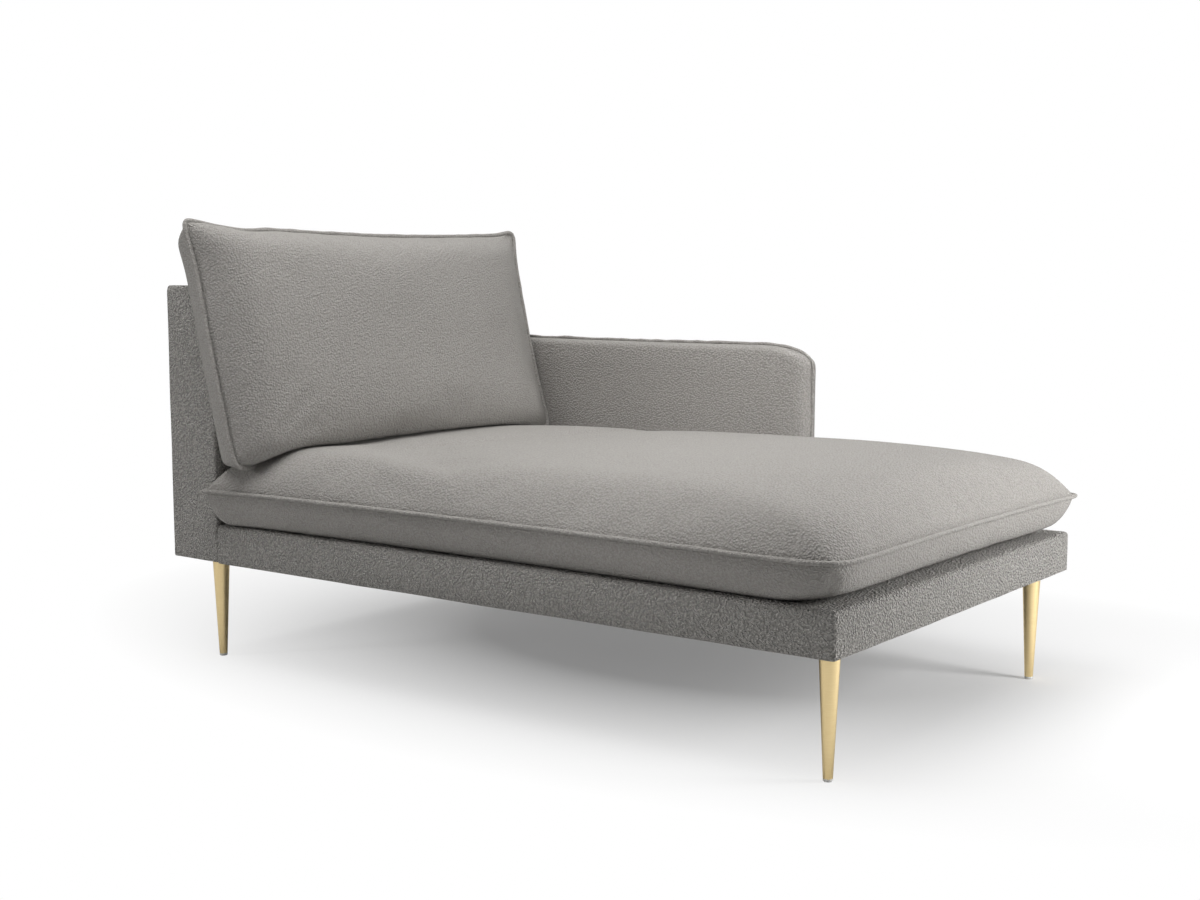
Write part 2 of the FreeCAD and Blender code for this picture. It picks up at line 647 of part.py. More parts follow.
# Back cushion: two fabric panels welted together round a wadded filling; it stands on the seat, leans on the panel's
# top edge and lies over it, with ears at its corners and a lower edge that arches over the seat's crown
LEAN = math.radians(BACK_CUSHION_LEAN)
BACK_CUSHION_FOOT = SEAT_SEAM + SEAT_CROWN - BACK_CUSHION_DROP
BACK_CUSHION_SEAM = PANEL - BACK_CUSHION_STANDOFF - (BACK_TOP - BACK_CUSHION_FOOT) * math.tan(LEAN)
BACK_CUSHION_SIDES = (LEFT - BACK_CUSHION_OVERHANG + WELT, RIGHT - SEAT_ARM_GAP - WELT, 0, BACK_CUSHION_HEIGHT)
BACK_CUSHION_CORNERS = (BACK_CUSHION_CORNER,) * 4
BACK_CUSHION_BOWS = (BACK_CUSHION_BOW,) * 4
LEAN_BACK = FreeCAD.Placement(
    FreeCAD.Vector(0, BACK_CUSHION_SEAM, BACK_CUSHION_FOOT), FreeCAD.Rotation(X, 90 - BACK_CUSHION_LEAN)
)


def leant(shape):
    shape.Placement = LEAN_BACK
    return shape


def back_cushion_half(way, shrink):
    depth = BACK_CUSHION_FRONT if way > 0 else -BACK_CUSHION_REAR
    half = leant(
        crowned_half(
            BACK_CUSHION_SIDES,
            BACK_CUSHION_CORNERS,
            BACK_CUSHION_BOWS,
            depth,
            BACK_CUSHION_RUN,
            FULL_CROWN,
            shrink,
            (1, 1, BACK_CUSHION_BOTTOM_EASE, 1),
            BACK_CUSHION_ARCH,
        )
    )
    room = FIT + shrink
    half = half.cut(seat_half(1, -room))
    if way > 0:
        return half
    panel = block(LEFT - room, RIGHT, PANEL - room, REAR, BASE_BOTTOM, BACK_TOP + room)
    return half.cut(panel)


def back_cushion_form(shrink):
    return back_cushion_half(1, shrink).fuse(back_cushion_half(-1, shrink))


def back_cushion_core():
    """Filling block in the front half, on the seam's plane."""
    crown = crown_height(BACK_CUSHION_CORE_INSET, BACK_CUSHION_FRONT, BACK_CUSHION_RUN, FULL_CROWN)
    return leant(core_block(BACK_CUSHION_SIDES, BACK_CUSHION_CORE_INSET, 0, crown - COVER - WADDING))


save("back_cushion_core", back_cushion_core())
save("back_cushion_wadding", back_cushion_form(COVER + FIT).cut(back_cushion_core()))
save("back_cushion_cover_front", back_cushion_half(1, 0).cut(back_cushion_half(1, COVER)))
save("back_cushion_cover_rear", back_cushion_half(-1, 0).cut(back_cushion_half(-1, COVER)))
ring = welt_ring(BACK_CUSHION_SIDES, BACK_CUSHION_CORNERS, BACK_CUSHION_BOWS, BACK_CUSHION_ARCH)
save("back_cushion_welt", leant(ring).cut(seat_half(1, -FIT)))
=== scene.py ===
"""Looks of the chaise sofa: nubbly grey covers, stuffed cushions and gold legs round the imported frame."""

import math
from collections import namedtuple

import bpy
import numpy as np
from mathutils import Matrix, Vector, noise
from mathutils.bvhtree import BVHTree


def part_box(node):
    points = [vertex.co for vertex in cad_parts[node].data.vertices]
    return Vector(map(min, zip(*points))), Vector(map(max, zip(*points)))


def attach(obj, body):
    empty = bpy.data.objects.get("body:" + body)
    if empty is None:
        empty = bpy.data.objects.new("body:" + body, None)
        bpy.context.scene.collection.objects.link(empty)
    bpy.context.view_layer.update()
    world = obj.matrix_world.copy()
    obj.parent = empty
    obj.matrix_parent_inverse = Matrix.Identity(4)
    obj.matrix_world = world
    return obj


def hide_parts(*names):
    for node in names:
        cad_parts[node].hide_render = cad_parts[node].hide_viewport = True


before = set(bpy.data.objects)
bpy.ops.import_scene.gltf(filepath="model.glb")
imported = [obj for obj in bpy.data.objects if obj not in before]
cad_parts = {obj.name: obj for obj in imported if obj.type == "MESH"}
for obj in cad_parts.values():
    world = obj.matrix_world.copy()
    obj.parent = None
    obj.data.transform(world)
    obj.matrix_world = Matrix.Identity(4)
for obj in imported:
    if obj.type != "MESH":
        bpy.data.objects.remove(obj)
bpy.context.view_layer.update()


# Legs: turned and tapered metal, finished in a satin gold, each screwed to the frame by a stud in its top.
# A white plastic glide is plugged into each foot so that the metal doesn't mark the floor.
def new_material(name):
    """A node material with its Principled shader at hand."""
    material = bpy.data.materials.new(name)
    material.use_nodes = True
    return material, material.node_tree, material.node_tree.nodes["Principled BSDF"]


def new_group(name, inputs, outputs):
    """A shader node group with float or colour sockets, and its ends."""
    group = bpy.data.node_groups.new(name, "ShaderNodeTree")
    for label, kind, value in inputs:
        socket = group.interface.new_socket(label, in_out="INPUT", socket_type=kind)
        socket.default_value = value
    for label, kind in outputs:
        group.interface.new_socket(label, in_out="OUTPUT", socket_type=kind)
    return group, group.nodes.new("NodeGroupInput"), group.nodes.new("NodeGroupOutput")


def place_group(tree, group, **values):
    """One use of a node group in a material, with its own values."""
    node = tree.nodes.new("ShaderNodeGroup")
    node.node_tree = group
    for label, value in values.items():
        node.inputs[label].default_value = value
    return node


def dress(material, *names):
    """Give CAD nodes a material of their own."""
    for name in names:
        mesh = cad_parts[name].data
        mesh.materials.clear()
        mesh.materials.append(material)


def satin_group():
    """Fine streaks of drawn or turned metal: a tone for the colour and one for the roughness."""
    group, start, end = new_group(
        "satin_streaks",
        [
            ("Dark", "NodeSocketColor", (0.5, 0.5, 0.5, 1)),
            ("Light", "NodeSocketColor", (0.6, 0.6, 0.6, 1)),
            ("Smoothest", "NodeSocketFloat", 0.2),
            ("Roughest", "NodeSocketFloat", 0.3),
        ],
        [("Color", "NodeSocketColor"), ("Roughness", "NodeSocketFloat")],
    )
    nodes, links = group.nodes, group.links
    place = nodes.new("ShaderNodeTexCoord")
    squeeze = nodes.new("ShaderNodeMapping")
    squeeze.inputs["Scale"].default_value = (60, 60, 900)
    streaks = nodes.new("ShaderNodeTexNoise")
    streaks.inputs["Scale"].default_value = 1.0
    streaks.inputs["Detail"].default_value = 3.0
    tone = nodes.new("ShaderNodeMix")
    tone.data_type = "RGBA"
    rough = nodes.new("ShaderNodeMix")
    links.new(place.outputs["Object"], squeeze.inputs["Vector"])
    links.new(squeeze.outputs["Vector"], streaks.inputs["Vector"])
    links.new(streaks.outputs["Fac"], tone.inputs["Factor"])
    links.new(streaks.outputs["Fac"], rough.inputs["Factor"])
    links.new(start.outputs["Dark"], tone.inputs["A"])
    links.new(start.outputs["Light"], tone.inputs["B"])
    links.new(start.outputs["Smoothest"], rough.inputs["A"])
    links.new(start.outputs["Roughest"], rough.inputs["B"])
    links.new(tone.outputs["Result"], end.inputs["Color"])
    links.new(rough.outputs["Result"], end.inputs["Roughness"])
    return group


satin_streaks = satin_group()


def satin_metal(name, dark, light, smoothest, roughest):
    material, tree, shader = new_material(name)
    shader.inputs["Metallic"].default_value = 1.0
    streaks = place_group(tree, satin_streaks, Dark=dark, Light=light, Smoothest=smoothest, Roughest=roughest)
    tree.links.new(streaks.outputs["Color"], shader.inputs["Base Color"])
    tree.links.new(streaks.outputs["Roughness"], shader.inputs["Roughness"])
    return material


def mottled_group():
    """Soft blotches and fine pores of moulded or felted stuff: a colour and a height."""
    group, start, end = new_group(
        "mottled",
        [
            ("Dark", "NodeSocketColor", (0.5, 0.5, 0.5, 1)),
            ("Light", "NodeSocketColor", (0.6, 0.6, 0.6, 1)),
            ("Scale", "NodeSocketFloat", 200.0),
        ],
        [("Color", "NodeSocketColor"), ("Height", "NodeSocketFloat")],
    )
    nodes, links = group.nodes, group.links
    place = nodes.new("ShaderNodeTexCoord")
    blotches = nodes.new("ShaderNodeTexNoise")
    blotches.inputs["Detail"].default_value = 4.0
    tone = nodes.new("ShaderNodeMix")
    tone.data_type = "RGBA"
    links.new(place.outputs["Object"], blotches.inputs["Vector"])
    links.new(start.outputs["Scale"], blotches.inputs["Scale"])
    links.new(blotches.outputs["Fac"], tone.inputs["Factor"])
    links.new(start.outputs["Dark"], tone.inputs["A"])
    links.new(start.outputs["Light"], tone.inputs["B"])
    links.new(tone.outputs["Result"], end.inputs["Color"])
    links.new(blotches.outputs["Fac"], end.inputs["Height"])
    return group


mottled = mottled_group()


def mottled_stuff(name, dark, light, scale, roughness, bump_depth):
    material, tree, shader = new_material(name)
    shader.inputs["Roughness"].default_value = roughness
    blotches = place_group(tree, mottled, Dark=dark, Light=light, Scale=scale)
    bump = tree.nodes.new("ShaderNodeBump")
    bump.inputs["Distance"].default_value = bump_depth
    tree.links.new(blotches.outputs["Color"], shader.inputs["Base Color"])
    tree.links.new(blotches.outputs["Height"], bump.inputs["Height"])
    tree.links.new(bump.outputs["Normal"], shader.inputs["Normal"])
    return material


gold = satin_metal("satin_gold", (0.86, 0.66, 0.33, 1), (0.95, 0.77, 0.44, 1), 0.26, 0.36)
dress(gold, "leg_foot_left", "leg_foot_right", "leg_back_left", "leg_back_right")
glide_plastic = mottled_stuff("glide_plastic", (0.78, 0.78, 0.76, 1), (0.88, 0.88, 0.86, 1), 90.0, 0.42, 0.0002)
dress(glide_plastic, "leg_glides")


# Fixings: zinc-plated studs, bolts, washers and inserts that hold the legs on and join base, back and arm.
# They sit inside the timber, under the covers.
zinc = satin_metal("zinc_plate", (0.52, 0.53, 0.54, 1), (0.68, 0.69, 0.70, 1), 0.28, 0.42)
dress(zinc, "leg_studs", "back_bolts", "arm_bolts", "bolt_washers", "insert_nuts")


# Timber frame: planed softwood rails, posts and blocks, glued and stapled at their joints.
# The boards on the back and arm are thin brown hardboard, stapled over the frame before it is padded.
def grain_group():
    """Long fibres of sawn wood or pressed board, stretched along one direction: a colour and a height."""
    group, start, end = new_group(
        "grain",
        [
            ("Dark", "NodeSocketColor", (0.5, 0.4, 0.3, 1)),
            ("Light", "NodeSocketColor", (0.7, 0.5, 0.35, 1)),
            ("Stretch", "NodeSocketVector", (1, 1, 1)),
        ],
        [("Color", "NodeSocketColor"), ("Height", "NodeSocketFloat")],
    )
    nodes, links = group.nodes, group.links
    place = nodes.new("ShaderNodeTexCoord")
    squeeze = nodes.new("ShaderNodeMapping")
    fibres = nodes.new("ShaderNodeTexNoise")
    fibres.inputs["Scale"].default_value = 1.0
    fibres.inputs["Detail"].default_value = 6.0
    fibres.inputs["Distortion"].default_value = 0.6
    tone = nodes.new("ShaderNodeMix")
    tone.data_type = "RGBA"
    links.new(place.outputs["Object"], squeeze.inputs["Vector"])
    links.new(start.outputs["Stretch"], squeeze.inputs["Scale"])
    links.new(squeeze.outputs["Vector"], fibres.inputs["Vector"])
    links.new(fibres.outputs["Fac"], tone.inputs["Factor"])
    links.new(start.outputs["Dark"], tone.inputs["A"])
    links.new(start.outputs["Light"], tone.inputs["B"])
    links.new(tone.outputs["Result"], end.inputs["Color"])
    links.new(fibres.outputs["Fac"], end.inputs["Height"])
    return group


grain = grain_group()


def grained_wood(name, dark, light, stretch, roughness):
    material, tree, shader = new_material(name)
    shader.inputs["Roughness"].default_value = roughness
    fibres = place_group(tree, grain, Dark=dark, Light=light, Stretch=stretch)
    bump = tree.nodes.new("ShaderNodeBump")
    bump.inputs["Distance"].default_value = 0.0003
    tree.links.new(fibres.outputs["Color"], shader.inputs["Base Color"])
    tree.links.new(fibres.outputs["Height"], bump.inputs["Height"])
    tree.links.new(bump.outputs["Normal"], shader.inputs["Normal"])
    return material


PINE_DARK = (0.50, 0.34, 0.19, 1)
PINE_LIGHT = (0.74, 0.57, 0.37, 1)
pine_along = grained_wood("pine_along", PINE_DARK, PINE_LIGHT, (120, 6, 120), 0.62)
pine_across = grained_wood("pine_across", PINE_DARK, PINE_LIGHT, (6, 120, 120), 0.62)
pine_upright = grained_wood("pine_upright", PINE_DARK, PINE_LIGHT, (120, 120, 6), 0.62)
dress(pine_along, "base_side_rail_left", "base_side_rail_right", "arm_bottom_rail", "arm_top_rail")
dress(pine_across, "base_foot_rail", "base_head_rail", "base_corner_blocks", "base_stretchers")
dress(pine_across, "back_bottom_rail", "back_top_rail", "back_middle_rail")
dress(pine_upright, "back_stile_left", "back_stile_right", "arm_front_post", "arm_rear_post")
hardboard = grained_wood("hardboard", (0.20, 0.12, 0.07, 1), (0.36, 0.24, 0.15, 1), (160, 160, 160), 0.7)
dress(hardboard, "back_front_board", "back_rear_board", "arm_inner_board", "arm_outer_board")


# Elastic belts: woven black webbing, stretched both ways over the base frame and stapled to its rails.
# They carry the foam topper and the cushion above it.
webbing = mottled_stuff("webbing", (0.02, 0.02, 0.02, 1), (0.07, 0.065, 0.06, 1), 700.0, 0.85, 0.0006)
dress(webbing, "base_cross_belts", "base_long_belts")


# Base cover: the nubbly grey cloth, looped and curly, pulled over a padded timber box and stapled under it.
# Its sides swell a little over the edge pad, and its top and upright corners are soft.
def loop_group():
    """Curly loops of a boucle yarn: their height, and where shade is painted into the gaps between them."""
    group, start, end = new_group(
        "yarn_loops",
        [("Loops per metre", "NodeSocketFloat", 200.0)],
        [("Height", "NodeSocketFloat"), ("Gap shade", "NodeSocketFloat")],
    )
    nodes, links = group.nodes, group.links
    place = nodes.new("ShaderNodeTexCoord")
    wander = nodes.new("ShaderNodeTexNoise")
    wander.inputs["Scale"].default_value = 120.0
    wander.inputs["Detail"].default_value = 2.0
    shift = nodes.new("ShaderNodeVectorMath")
    shift.operation = "MULTIPLY_ADD"
    shift.inputs[1].default_value = (0.002, 0.002, 0.002)
    loops = nodes.new("ShaderNodeTexVoronoi")
    loops.feature = "SMOOTH_F1"
    loops.inputs["Smoothness"].default_value = 0.35
    curls = nodes.new("ShaderNodeTexNoise")
    curls.inputs["Scale"].default_value = 560.0
    curls.inputs["Detail"].default_value = 2.0
    domes = nodes.new("ShaderNodeMapRange")
    domes.inputs["From Min"].default_value = 0.0
    domes.inputs["From Max"].default_value = 0.75
    domes.inputs["To Min"].default_value = 1.0
    domes.inputs["To Max"].default_value = 0.0
    mixed = nodes.new("ShaderNodeMath")
    mixed.operation = "MULTIPLY_ADD"
    mixed.inputs[1].default_value = 0.45
    links.new(place.outputs["Object"], wander.inputs["Vector"])
    links.new(wander.outputs["Color"], shift.inputs[0])
    links.new(place.outputs["Object"], shift.inputs[2])
    links.new(shift.outputs["Vector"], loops.inputs["Vector"])
    links.new(start.outputs["Loops per metre"], loops.inputs["Scale"])
    links.new(place.outputs["Object"], curls.inputs["Vector"])
    links.new(loops.outputs["Distance"], domes.inputs["Value"])
    links.new(curls.outputs["Fac"], mixed.inputs[0])
    links.new(domes.outputs["Result"], mixed.inputs[2])
    links.new(mixed.outputs["Value"], end.inputs["Height"])
    links.new(domes.outputs["Result"], end.inputs["Gap shade"])
    return group


yarn_loops = loop_group()


def boucle_cloth(name, gap_shade_colour, loop_colour, loops_per_metre, depth):
    material, tree, shader = new_material(name)
    shader.inputs["Roughness"].default_value = 0.92
    shader.inputs["Specular IOR Level"].default_value = 0.15
    shader.inputs["Sheen Weight"].default_value = 0.06
    shader.inputs["Sheen Roughness"].default_value = 0.6
    loops = place_group(tree, yarn_loops, **{"Loops per metre": loops_per_metre})
    # Painted shade: the gaps between the loops take the darker colour, the tops of the loops the lighter one.
    tone = tree.nodes.new("ShaderNodeMix")
    tone.data_type = "RGBA"
    tone.inputs["A"].default_value = gap_shade_colour
    tone.inputs["B"].default_value = loop_colour
    bump = tree.nodes.new("ShaderNodeBump")
    bump.inputs["Distance"].default_value = depth
    tree.links.new(loops.outputs["Gap shade"], tone.inputs["Factor"])
    tree.links.new(tone.outputs["Result"], shader.inputs["Base Color"])
    tree.links.new(loops.outputs["Height"], bump.inputs["Height"])
    tree.links.new(bump.outputs["Normal"], shader.inputs["Normal"])
    return material


# On the base and back panel, where the cloth is pulled tight over a board, a copy painted lighter stands in for light
# on their shaded sides, and deeper painted shade darkens the gaps between its loops
boucle = boucle_cloth(
    "grey_boucle", (0.29, 0.277, 0.260, 1), (0.39, 0.374, 0.353, 1), loops_per_metre=260.0, depth=0.0022
)
boucle_painted_lighter = boucle_cloth(
    "grey_boucle_painted_lighter", (0.34, 0.326, 0.307, 1), (0.70, 0.673, 0.636, 1), loops_per_metre=245.0, depth=0.0095
)


def wavering(point, size, seed):
    """Smooth unevenness between about -1 and 1 that is the same on every run."""
    return noise.noise(Vector(point) / size + Vector((seed, 2.7 * seed, 5.3 * seed)))


def new_piece(name, points, faces, material):
    """A smooth-shaded mesh object of the sofa."""
    mesh = bpy.data.meshes.new(name)
    mesh.from_pydata([tuple(p) for p in points], [], faces)
    mesh.polygons.foreach_set("use_smooth", [True] * len(mesh.polygons))
    mesh.materials.append(material)
    mesh.update()
    piece = bpy.data.objects.new(name, mesh)
    bpy.context.scene.collection.objects.link(piece)
    return piece


def edge_stations(low, high, low_round, high_round, step):
    """Places along one side of a box, close together where its edges are rounded."""
    turn = [1 - math.cos(math.radians(a)) for a in (0, 25, 45, 60, 75)]
    first = [low + low_round * t for t in turn] + [low + low_round]
    last = [high - high_round * t for t in turn] + [high - high_round]
    count = max(2, round((last[-1] - first[-1]) / step))
    middle = list(np.linspace(first[-1], last[-1], count + 1))
    return np.array(first[:-1] + middle + last[-2::-1])


COVER_STEP = 0.02
COVER_WAVE = 0.0009
COVER_WAVE_LENGTH = 0.09
HEM_LOOSENESS = Vector((0.001, 0.001, 0.002))


def stuffed_box(name, low, high, rounds, swell, seed, material):
    """A padded box: rounded edges, faces that swell, and the slight unevenness of cloth over wadding.

    rounds gives the radius at each end of X, Y and Z. swell is how far the middle of a face stands proud, per axis.
    """
    axes = [edge_stations(low[k], high[k], rounds[k][0], rounds[k][1], COVER_STEP) for k in range(3)]
    counts = [len(axis) for axis in axes]
    number, points = {}, []

    def vertex(cell):
        if cell not in number:
            number[cell] = len(points)
            points.append([axes[k][cell[k]] for k in range(3)])
        return number[cell]

    faces = []
    for k in range(3):
        i, j = [(1, 2), (2, 0), (0, 1)][k]
        for end in (0, counts[k] - 1):
            for p in range(counts[i] - 1):
                for q in range(counts[j] - 1):
                    ring = []
                    for dp, dq in ((0, 0), (1, 0), (1, 1), (0, 1)):
                        cell = [0, 0, 0]
                        cell[k], cell[i], cell[j] = end, p + dp, q + dq
                        ring.append(vertex(tuple(cell)))
                    faces.append(ring if end else ring[::-1])
    points = np.array(points)
    inner_low = np.array([low[k] + rounds[k][0] for k in range(3)])
    inner_high = np.array([high[k] - rounds[k][1] for k in range(3)])
    inner = np.clip(points, inner_low, inner_high)
    radius = np.where(points < inner, [r[0] for r in rounds], [r[1] for r in rounds])
    away = (points - inner) / radius
    length = np.maximum(np.linalg.norm(away, axis=1, keepdims=True), 1e-9)
    points = inner + radius * away / length
    middle, half = (np.array(low) + np.array(high)) / 2, (np.array(high) - np.array(low)) / 2
    share = np.clip((points - middle) / half, -1, 1)
    for k in range(3):
        i, j = [(1, 2), (2, 0), (0, 1)][k]
        fall = (1 - share[:, i] ** 2) * (1 - share[:, j] ** 4)
        points[:, k] += np.sign(share[:, k]) * np.abs(share[:, k]) ** 6 * fall * swell[k]
    normal = away / length
    for n, point in enumerate(points):
        points[n] = point + normal[n] * COVER_WAVE * wavering(point, COVER_WAVE_LENGTH, seed)
    return new_piece(name, points, faces, material)


base_low, base_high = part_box("base_cover")
base_upholstery = stuffed_box(
    "base_upholstery",
    base_low - HEM_LOOSENESS,
    base_high,
    rounds=((0.008, 0.008), (0.008, 0.005), (0.003, 0.007)),
    swell=(0.004, 0.004, 0.0),
    seed=1.0,
    # The copy of the cloth painted lighter, with deeper painted shade in its gaps
    material=boucle_painted_lighter,
)
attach(base_upholstery, "frame")
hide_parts("base_cover", "base_topper", "base_edge_pad")


# Dust cover: a thin black felted cloth stapled under the base, inside the turned-under hem of the cover.
# It sags a little between its staples.
dust_cloth = mottled_stuff("dust_cloth", (0.012, 0.012, 0.012, 1), (0.05, 0.05, 0.05, 1), 500.0, 0.95, 0.0004)


def stretched_cloth(name, low, high, level, sag, material):
    across, along = np.linspace(low.x, high.x, 25), np.linspace(low.y, high.y, 37)
    points, faces = [], []
    for i, x in enumerate(across):
        for j, y in enumerate(along):
            u, v = i / (len(across) - 1), j / (len(along) - 1)
            points.append((x, y, level - sag * 16 * u * (1 - u) * v * (1 - v)))
    for i in range(len(across) - 1):
        for j in range(len(along) - 1):
            a = i * len(along) + j
            faces.append((a, a + 1, a + len(along) + 1, a + len(along)))
    return new_piece(name, points, faces, material)


dust_low, dust_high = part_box("base_dust_cover")
dust_sheet = stretched_cloth("dust_sheet", dust_low, dust_high, dust_low.z, sag=0.004, material=dust_cloth)
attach(dust_sheet, "frame")
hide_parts("base_dust_cover")


# Back panel: a padded frame behind the cushion, in the same cloth, with soft edges all round.
# Its side shows past the cushion on the open side of the sofa.
panel_low, panel_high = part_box("back_cover")
back_upholstery = stuffed_box(
    "back_upholstery",
    panel_low,
    panel_high,
    rounds=((0.005, 0.005), (0.008, 0.005), (0.004, 0.016)),
    swell=(0.002, 0.0, 0.0),
    seed=2.0,
    # The copy of the cloth painted lighter, with deeper painted shade in its gaps
    material=boucle_painted_lighter,
)
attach(back_upholstery, "frame")
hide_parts("back_cover", "back_front_foam", "back_rear_foam", "back_edge_foam")


# Arm: a padded slab bolted to the side of the base. Two crowned faces of cloth meet in a piped seam that runs
# along its top, round its front corner and down its front. The cloth puckers a little where it is sewn.
def rise(share):
    """Height of a stuffed face, 0 at its seam and 1 on its crown, at this share of the way in."""
    return np.sqrt(1 - (1 - np.clip(share, 0, 1)) ** 2)


def climb_stations(length, run, depth, step):
    """Places across a stuffed face, evenly spaced along the cloth as it climbs from both seams."""
    share = np.linspace(0, 1, 400)
    along = np.hypot(np.diff(run * share), np.diff(depth * rise(share))).cumsum()
    arc = np.concatenate([[0], along])
    count = round(arc[-1] / step)
    first = np.interp(np.linspace(0, arc[-1], count + 1), arc, run * share)
    flat = np.linspace(run, length - run, max(1, round((length - 2 * run) / step)) + 1)
    return np.concatenate([first, flat[1:-1], length - first[::-1]])


# How a stuffed face climbs from its seam: a share of its depth in the first run, the rest slowly in the long one
Crown = namedtuple("Crown", "depth run share long_run")


def stuffed_form(sides, reaches, squares, eases, slopes, bows, front, rear, step, calm=0):
    """Two stuffed faces sewn together round one seam, drawn flat: points (a, b, height), faces and seam.

    sides is the seam's box. reaches is how far each corner's rounding runs and squares how pointed it is, from the
    low a, low b corner round anticlockwise. eases scale how far in from each side the crown climbs, slopes are 1
    where it climbs steeply from the seam and 2 where it slopes up, and bows are how far the seam draws in there.
    front and rear are the two faces' crowns, step is the size of a face, and calm is how often the front is smoothed.
    """
    a0, a1, b0, b1 = sides
    across = climb_stations(a1 - a0, front.run, front.depth * front.share, step)
    along = climb_stations(b1 - b0, front.run, front.depth * front.share, step)
    a, b = np.meshgrid(across, along, indexing="ij")
    low_a, low_b = a < (a1 - a0) / 2, b < (b1 - b0) / 2
    from_a, from_b = np.where(low_a, a, a1 - a0 - a), np.where(low_b, b, b1 - b0 - b)
    ease_a, ease_b = np.where(low_a, eases[0], eases[1]), np.where(low_b, eases[2], eases[3])
    bow_a, bow_b = np.where(low_a, bows[0], bows[1]), np.where(low_b, bows[2], bows[3])
    corners = [low_a & low_b, ~low_a & low_b, ~low_a & ~low_b]
    reach, square = np.select(corners, reaches[:3], reaches[3]), np.select(corners, squares[:3], squares[3])
    near_a = np.clip(1 - from_a / ease_a / reach, 0, 1)
    near_b = np.clip(1 - from_b / ease_b / reach, 0, 1)
    nearest = np.maximum(near_a, near_b)
    power = 2 + (square - 2) * nearest
    size = np.maximum((near_a**power + near_b**power) ** (1 / power), 1e-9)
    pull = reach * (1 - np.where(nearest > 0, nearest / size, 1))
    slope_a, slope_b = np.where(low_a, slopes[0], slopes[1]), np.where(low_b, slopes[2], slopes[3])

    def climb(span):
        over_a = rise(from_a / np.minimum(span * ease_a, (a1 - a0) / 2)) ** slope_a
        return over_a * rise(from_b / np.minimum(span * ease_b, (b1 - b0) / 2)) ** slope_b

    heights = [
        face.depth * (face.share * climb(face.run) + (1 - face.share) * climb(face.long_run)) for face in (front, rear)
    ]
    middle_a = 1 - (2 * a / (a1 - a0) - 1) ** 2
    middle_b = 1 - (2 * b / (b1 - b0) - 1) ** 2
    from_a = from_a + ease_a * pull * near_a + bow_a * middle_b * np.clip(1 - from_a / front.run, 0, 1)
    from_b = from_b + ease_b * pull * near_b + bow_b * middle_a * np.clip(1 - from_b / front.run, 0, 1)
    a = np.where(low_a, a0 + from_a, a1 - from_a)
    b = np.where(low_b, b0 + from_b, b1 - from_b)
    rows, columns = a.shape
    upper = np.arange(rows * columns).reshape(rows, columns)
    lower = upper.copy()
    lower[1:-1, 1:-1] = rows * columns + np.arange((rows - 2) * (columns - 2)).reshape(rows - 2, columns - 2)
    top, bottom = np.stack([a, b, heights[0]], axis=-1), np.stack([a, b, -heights[1]], axis=-1)
    for _ in range(calm):
        beside = top[:-2, 1:-1] + top[2:, 1:-1] + top[1:-1, :-2] + top[1:-1, 2:]
        top[1:-1, 1:-1] = top[1:-1, 1:-1] / 2 + beside / 8
    points = np.concatenate([top.reshape(-1, 3), bottom[1:-1, 1:-1].reshape(-1, 3)])
    faces = []
    for i in range(rows - 1):
        for j in range(columns - 1):
            faces.append((upper[i, j], upper[i + 1, j], upper[i + 1, j + 1], upper[i, j + 1]))
            faces.append((lower[i, j], lower[i, j + 1], lower[i + 1, j + 1], lower[i + 1, j]))
    seam = np.concatenate([upper[:-1, 0], upper[-1, :-1], upper[:0:-1, -1], upper[0, :0:-1]])
    return points, [tuple(int(n) for n in face) for face in faces], seam


CLOTH_FRAMES = 20


def puffed(piece, held, pressure, slack, most):
    """Blow a sewn form up as cloth for a moment, so that it fills and puckers, and keep it near where it was."""
    start = np.array([v.co for v in piece.data.vertices])
    group = piece.vertex_groups.new(name="held")
    group.add([int(n) for n in held], 1.0, "REPLACE")
    cloth = piece.modifiers.new("cloth", "CLOTH")
    cloth.settings.quality = 6
    cloth.settings.mass = 0.25
    cloth.settings.tension_stiffness = 12
    cloth.settings.compression_stiffness = 8
    cloth.settings.shear_stiffness = 4
    cloth.settings.bending_stiffness = 0.4
    cloth.settings.use_pressure = True
    cloth.settings.uniform_pressure_force = pressure
    cloth.settings.shrink_min = -slack
    cloth.settings.vertex_group_mass = "held"
    cloth.settings.effector_weights.gravity = 0
    cloth.collision_settings.use_collision = False
    cloth.point_cache.frame_start = 1
    cloth.point_cache.frame_end = CLOTH_FRAMES
    for step in range(1, CLOTH_FRAMES + 1):
        bpy.context.scene.frame_set(step)
    shown = piece.evaluated_get(bpy.context.evaluated_depsgraph_get())
    moved = np.array([v.co for v in shown.data.vertices]) - start
    piece.modifiers.remove(cloth)
    piece.vertex_groups.remove(group)
    bpy.context.scene.frame_set(1)
    length = np.maximum(np.linalg.norm(moved, axis=1, keepdims=True), 1e-9)
    piece.data.vertices.foreach_set("co", (start + moved * np.minimum(1, most / length)).ravel())
    piece.data.update()


PIPING_SIDES = 10


